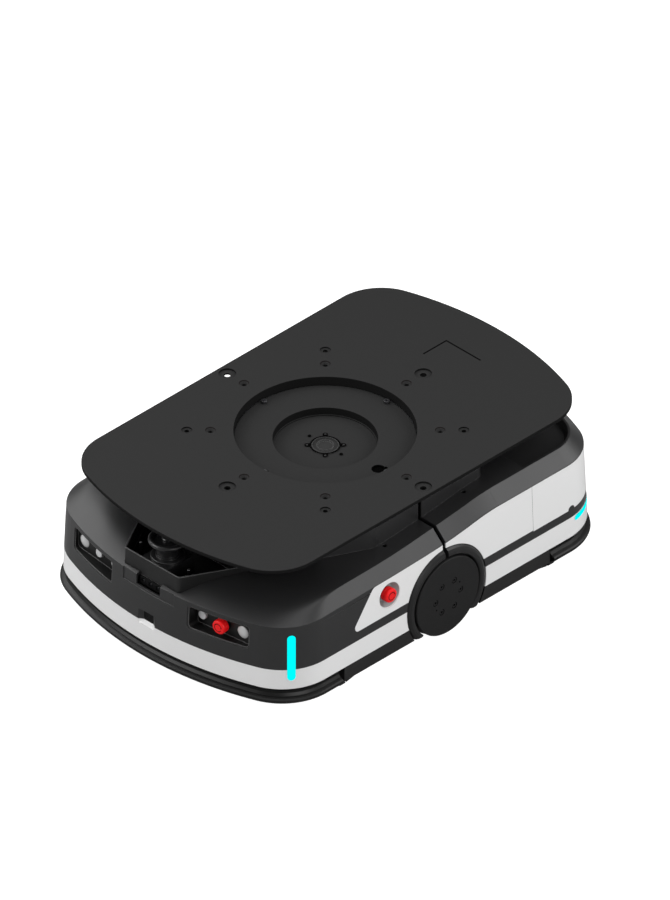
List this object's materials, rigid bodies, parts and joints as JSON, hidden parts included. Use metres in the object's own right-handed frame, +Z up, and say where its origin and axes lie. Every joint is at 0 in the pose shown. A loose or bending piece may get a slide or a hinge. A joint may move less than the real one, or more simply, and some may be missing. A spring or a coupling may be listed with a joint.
{
  "type": "autonomous mobile robot",
  "caption": "Low drive-under warehouse robot with a bow-ended body, side drive wheels and a lifting, turning load plate with a round centre opening.",
  "frame": {"origin": "on the floor, midway between the two drive wheels", "axes": "+X to the robot's front, +Y to its left, +Z up"},
  "size_m": [1.0232, 0.6972, 0.322],
  "materials": {
    "dark_plastic": "dark grey moulded plastic, satin, fine grain",
    "white_plastic": "white moulded plastic, semi gloss",
    "plate_paint": "dark grey powder coat, fine texture",
    "frame_paint": "black powder coat over steel sheet",
    "bumper_rubber": "black safety edge rubber, matt",
    "tyre_rubber": "black polyurethane tread",
    "hub_paint": "black anodised wheel cap, fine turned",
    "caster_wheel": "dark grey polyurethane",
    "steel": "machined and zinc plated steel",
    "motor_aluminium": "cast and machined aluminium",
    "red_plastic": "red moulded plastic",
    "black_plastic": "black moulded plastic and dark glass",
    "button_metal": "satin stainless steel",
    "lens_plastic": "pale grey translucent plastic",
    "light_plastic": "cyan light strip, lit"
  },
  "bodies": {
    "rear_chassis": {"rear_frame": "frame_paint", "rear_cover": "dark_plastic", "rear_side_panels": "white_plastic", "rear_wrap_panel": "white_plastic", "rear_band": "white_plastic", "rear_lights": "light_plastic", "rear_arch_lips": "dark_plastic", "rear_skirt": "dark_plastic", "battery": "dark_plastic", "gearmotors": "motor_aluminium", "lift_motor": "motor_aluminium"},
    "front_chassis": {"front_cover": "dark_plastic", "front_side_panels": "white_plastic", "front_band": "white_plastic", "front_lights": "light_plastic", "front_arch_lips": "dark_plastic", "front_skirt": "dark_plastic", "front_frame": "frame_paint", "control_computer": "motor_aluminium", "lidar_tray": "dark_plastic", "lidar": "black_plastic", "depth_camera": "black_plastic", "front_camera": "black_plastic", "left_control_panel": "dark_plastic", "right_control_panel": "dark_plastic", "indicator_lenses": "lens_plastic", "estop_collars": "black_plastic"},
    "front_bumper": {"front_bumper": "bumper_rubber"},
    "rear_bumper": {"rear_bumper": "bumper_rubber"},
    "left_button": {"left_button": "button_metal"},
    "right_inner_button": {"right_inner_button": "button_metal"},
    "right_middle_button": {"right_middle_button": "button_metal"},
    "front_estop": {"front_estop_head": "red_plastic"},
    "left_estop": {"left_estop_head": "red_plastic"},
    "right_estop": {"right_estop_head": "red_plastic"},
    "left_wheel": {"left_drive_hub": "hub_paint", "left_drive_tyre": "tyre_rubber"},
    "right_wheel": {"right_drive_hub": "hub_paint", "right_drive_tyre": "tyre_rubber"},
    "lift_carriage": {"lift_table": "frame_paint", "slew_motor": "motor_aluminium", "slew_inner_race": "steel", "turntable_ring": "plate_paint", "ring_screws": "steel", "centre_cover": "plate_paint", "code_camera": "black_plastic"},
    "turntable": {"load_plate": "plate_paint", "spacer_ring": "plate_paint", "slew_outer_race": "steel"},
    "slew_pinion": {"slew_pinion": "steel"},
    "front_lift_screw": {"front_lift_screw": "steel"},
    "rear_lift_screw": {"rear_lift_screw": "steel"},
    "front_left_swivel": {"front_left_caster_fork": "steel"},
    "front_left_caster": {"front_left_caster_wheel": "caster_wheel"},
    "front_right_swivel": {"front_right_caster_fork": "steel"},
    "front_right_caster": {"front_right_caster_wheel": "caster_wheel"},
    "rear_left_swivel": {"rear_left_caster_fork": "steel"},
    "rear_left_caster": {"rear_left_caster_wheel": "caster_wheel"},
    "rear_right_swivel": {"rear_right_caster_fork": "steel"},
    "rear_right_caster": {"rear_right_caster_wheel": "caster_wheel"}
  },
  "joints": [
    {"name": "chassis_pivot", "type": "hinge", "parent": "rear_chassis", "child": "front_chassis", "pos_m": [0, 0, 0.09], "axis": [0, 1, 0], "range_deg": [-1.5, 1.5]},
    {"name": "left_wheel_spin", "type": "hinge", "parent": "rear_chassis", "child": "left_wheel", "pos_m": [0, 0.303, 0.09], "axis": [0, 1, 0], "continuous": true},
    {"name": "right_wheel_spin", "type": "hinge", "parent": "rear_chassis", "child": "right_wheel", "pos_m": [0, -0.303, 0.09], "axis": [0, 1, 0], "continuous": true},
    {"name": "lift", "type": "slide", "parent": "rear_chassis", "child": "lift_carriage", "axis": [0, 0, 1], "range_m": [0, 0.06]},
    {"name": "plate_turn", "type": "hinge", "parent": "lift_carriage", "child": "turntable", "pos_m": [0, 0, 0.3], "axis": [0, 0, 1], "continuous": true},
    {"name": "pinion_turn", "type": "hinge", "parent": "lift_carriage", "child": "slew_pinion", "pos_m": [0, -0.224, 0.29], "axis": [0, 0, 1], "continuous": true},
    {"name": "front_screw_turn", "type": "hinge", "parent": "rear_chassis", "child": "front_lift_screw", "pos_m": [0.125, 0, 0.1], "axis": [0, 0, 1], "range_deg": [0, 2165]},
    {"name": "rear_screw_turn", "type": "hinge", "parent": "rear_chassis", "child": "rear_lift_screw", "pos_m": [-0.125, 0, 0.1], "axis": [0, 0, 1], "range_deg": [0, 2165]},
    {"name": "front_bumper_push", "type": "slide", "parent": "front_chassis", "child": "front_bumper", "axis": [-1, 0, 0], "range_m": [0, 0.006], "stiffness_N_per_m": 6000},
    {"name": "rear_bumper_push", "type": "slide", "parent": "rear_chassis", "child": "rear_bumper", "axis": [1, 0, 0], "range_m": [0, 0.006], "stiffness_N_per_m": 6000},
    {"name": "left_button_push", "type": "slide", "parent": "front_chassis", "child": "left_button", "axis": [-0.9936, -0.1128, 0], "range_m": [0, 0.0015], "stiffness_N_per_m": 1500},
    {"name": "right_inner_button_push", "type": "slide", "parent": "front_chassis", "child": "right_inner_button", "axis": [-0.9936, 0.1128, 0], "range_m": [0, 0.0015], "stiffness_N_per_m": 1500},
    {"name": "right_middle_button_push", "type": "slide", "parent": "front_chassis", "child": "right_middle_button", "axis": [-0.9936, 0.1128, 0], "range_m": [0, 0.0015], "stiffness_N_per_m": 1500},
    {"name": "front_estop_push", "type": "slide", "parent": "front_chassis", "child": "front_estop", "axis": [-0.9936, -0.1128, 0], "range_m": [0, 0.004], "stiffness_N_per_m": 2500},
    {"name": "left_estop_push", "type": "slide", "parent": "front_chassis", "child": "left_estop", "axis": [0, -1, 0], "range_m": [0, 0.004], "stiffness_N_per_m": 2500},
    {"name": "right_estop_push", "type": "slide", "parent": "front_chassis", "child": "right_estop", "axis": [0, 1, 0], "range_m": [0, 0.004], "stiffness_N_per_m": 2500},
    {"name": "front_left_swivel_turn", "type": "hinge", "parent": "front_chassis", "child": "front_left_swivel", "pos_m": [0.345, 0.212, 0.09], "axis": [0, 0, 1], "continuous": true},
    {"name": "front_left_caster_roll", "type": "hinge", "parent": "front_left_swivel", "child": "front_left_caster", "pos_m": [0.317, 0.212, 0.0375], "axis": [0, 1, 0], "continuous": true},
    {"name": "front_right_swivel_turn", "type": "hinge", "parent": "front_chassis", "child": "front_right_swivel", "pos_m": [0.345, -0.212, 0.09], "axis": [0, 0, 1], "continuous": true},
    {"name": "front_right_caster_roll", "type": "hinge", "parent": "front_right_swivel", "child": "front_right_caster", "pos_m": [0.317, -0.212, 0.0375], "axis": [0, 1, 0], "continuous": true},
    {"name": "rear_left_swivel_turn", "type": "hinge", "parent": "rear_chassis", "child": "rear_left_swivel", "pos_m": [-0.345, 0.212, 0.09], "axis": [0, 0, 1], "continuous": true},
    {"name": "rear_left_caster_roll", "type": "hinge", "parent": "rear_left_swivel", "child": "rear_left_caster", "pos_m": [-0.373, 0.212, 0.0375], "axis": [0, 1, 0], "continuous": true},
    {"name": "rear_right_swivel_turn", "type": "hinge", "parent": "rear_chassis", "child": "rear_right_swivel", "pos_m": [-0.345, -0.212, 0.09], "axis": [0, 0, 1], "continuous": true},
    {"name": "rear_right_caster_roll", "type": "hinge", "parent": "rear_right_swivel", "child": "rear_right_caster", "pos_m": [-0.373, -0.212, 0.0375], "axis": [0, 1, 0], "continuous": true}
  ],
  "couplings": [
    {"joint": "pinion_turn", "follows": "plate_turn", "ratio": -8.3333},
    {"joint": "front_screw_turn", "follows": "lift", "rad_per_m": 628.32},
    {"joint": "rear_screw_turn", "follows": "lift", "rad_per_m": 628.32}
  ]
}
